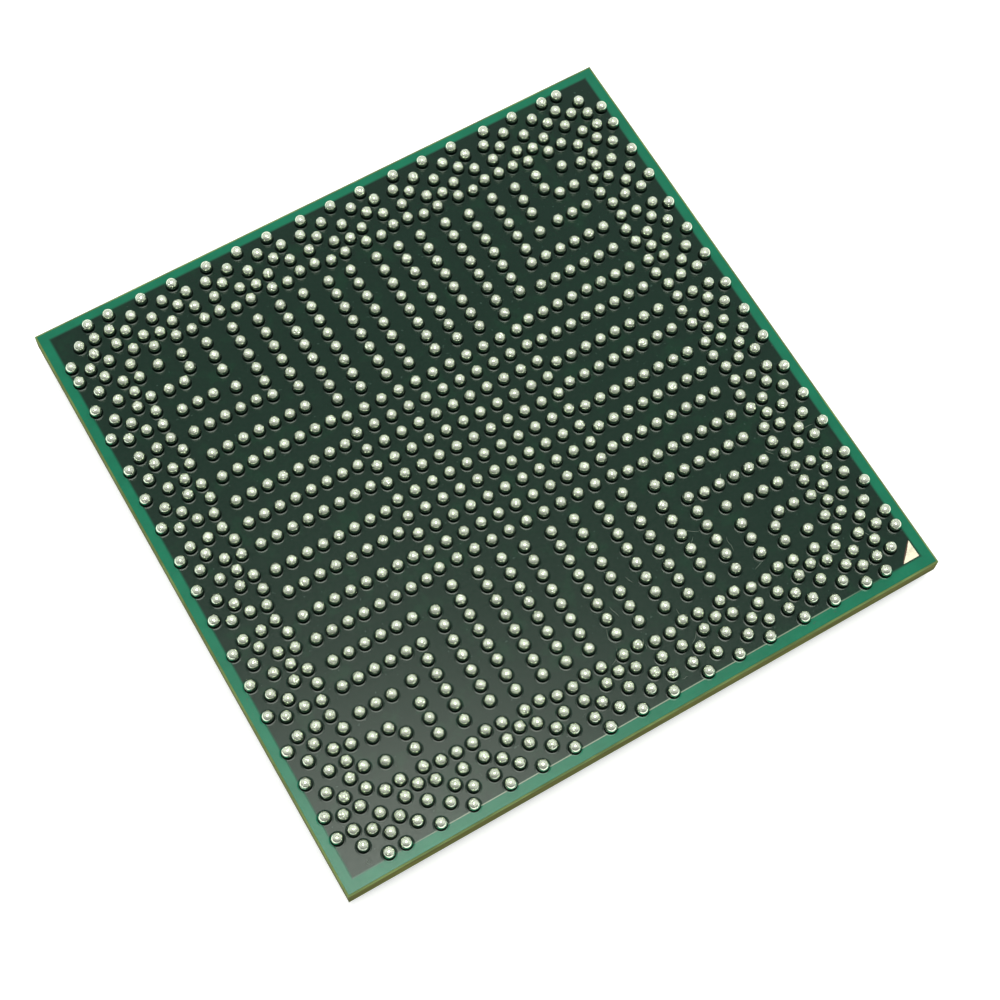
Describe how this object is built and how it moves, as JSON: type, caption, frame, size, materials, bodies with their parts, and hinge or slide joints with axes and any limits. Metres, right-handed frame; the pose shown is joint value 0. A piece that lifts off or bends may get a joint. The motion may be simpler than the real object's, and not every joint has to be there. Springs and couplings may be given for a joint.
{
  "type": "bga chip",
  "caption": "Square flip-chip ball grid array package with its solder balls up, a gold pin-one triangle and a bare die on the back.",
  "frame": {"origin": "centre of the package outline, at the height of the die's back face, on which the package rests", "axes": "+Z from the die to the balls; +X and +Y along the board edges, with the pin-one triangle in the corner at +X and -Y"},
  "size_m": [0.027, 0.027, 0.0022],
  "materials": {
    "solder": "bright reflowed solder, slightly dented on top",
    "solder_mask": "glossy green solder mask, near black over copper",
    "copper": "dark treated copper under the mask",
    "build_up_resin": "sawn edge of glass-filled resin",
    "laminate": "sawn edge of olive tan glass-fibre laminate",
    "gold_plating": "pale gold over nickel",
    "silicon": "dark mirror-polished silicon",
    "underfill_resin": "dark brown epoxy fillet"
  },
  "bodies": {
    "root": {"silicon_die": "silicon", "underfill": "underfill_resin", "mask_die_side": "solder_mask", "copper_die_side": "copper", "resin_die_side": "build_up_resin", "core_laminate": "laminate", "resin_ball_side": "build_up_resin", "copper_ball_side": "copper", "contact_pads": "copper", "mask_ball_side": "solder_mask", "pin_one_gold": "gold_plating", "balls_centre": "solder", "balls_fan_north": "solder", "balls_fan_west": "solder", "balls_fan_south": "solder", "balls_fan_east": "solder", "balls_edge_north": "solder", "balls_edge_west": "solder", "balls_edge_south": "solder", "balls_edge_east": "solder"}
  },
  "joints": []
}
